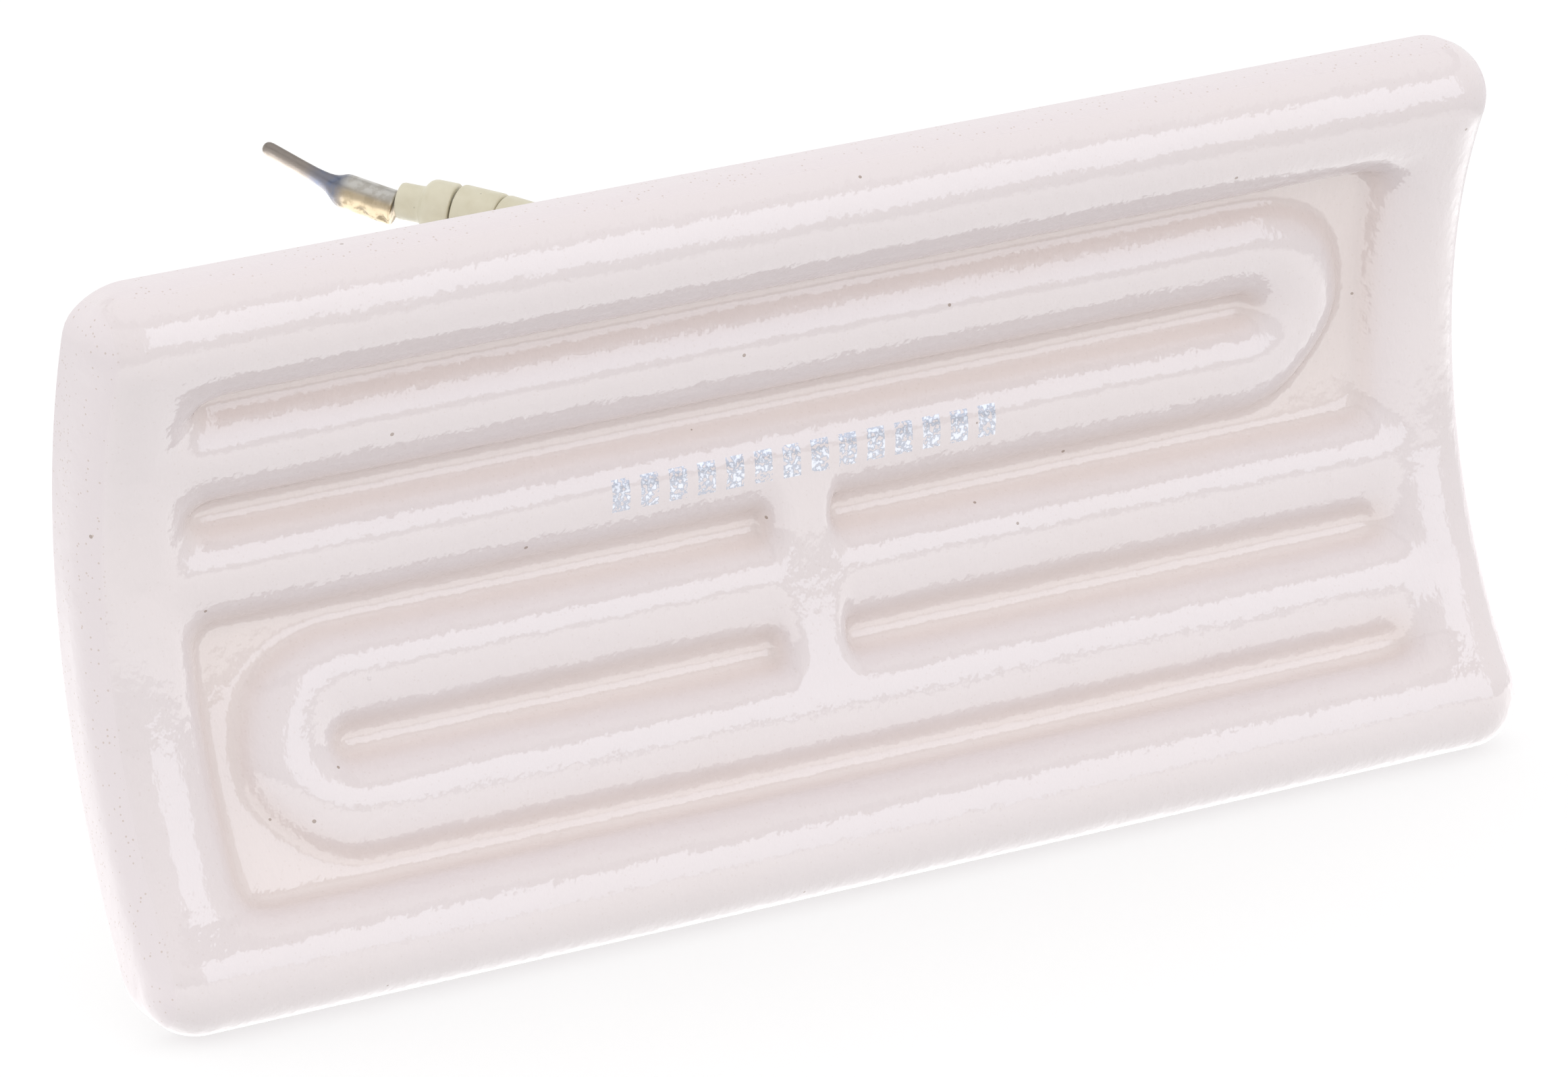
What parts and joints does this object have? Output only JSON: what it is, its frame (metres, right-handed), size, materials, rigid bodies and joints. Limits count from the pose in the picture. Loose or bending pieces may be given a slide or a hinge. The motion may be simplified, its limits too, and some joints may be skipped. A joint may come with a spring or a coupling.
{
  "type": "ceramic infrared heating element",
  "caption": "Curved rectangular ceramic heating element with ridged trough face, rear mounting stub and beaded leads ending in crimped pins",
  "frame": {"origin": "middle of the mounting stub, on the plane of the reflector seat", "axes": "+X along the element, +Y out of the back along the stub, +Z across the width; the radiating face looks towards -Y"},
  "size_m": [0.1226, 0.0882, 0.06],
  "materials": {
    "body_glaze": "glossy cream glaze, crazed and speckled",
    "bead_ceramic": "smooth pale steatite",
    "heater_alloy": "oxidised resistance alloy",
    "lead_metal": "drawn nickel alloy wire",
    "terminal_metal": "heat-tinted crimped pin"
  },
  "bodies": {
    "root": {"ceramic_body": "body_glaze", "heating_coil": "heater_alloy", "cold_rod_left": "heater_alloy", "cold_rod_right": "heater_alloy", "lead_wire_left": "lead_metal", "bead_left_01": "bead_ceramic", "bead_left_02": "bead_ceramic", "bead_left_03": "bead_ceramic", "bead_left_04": "bead_ceramic", "bead_left_05": "bead_ceramic", "bead_left_06": "bead_ceramic", "bead_left_07": "bead_ceramic", "bead_left_08": "bead_ceramic", "bead_left_09": "bead_ceramic", "bead_left_10": "bead_ceramic", "bead_left_11": "bead_ceramic", "bead_left_12": "bead_ceramic", "bead_left_13": "bead_ceramic", "terminal_pin_left": "terminal_metal", "lead_wire_right": "lead_metal", "bead_right_01": "bead_ceramic", "bead_right_02": "bead_ceramic", "bead_right_03": "bead_ceramic", "bead_right_04": "bead_ceramic", "bead_right_05": "bead_ceramic", "bead_right_06": "bead_ceramic", "bead_right_07": "bead_ceramic", "bead_right_08": "bead_ceramic", "bead_right_09": "bead_ceramic", "bead_right_10": "bead_ceramic", "bead_right_11": "bead_ceramic", "bead_right_12": "bead_ceramic", "bead_right_13": "bead_ceramic", "terminal_pin_right": "terminal_metal"}
  },
  "joints": []
}
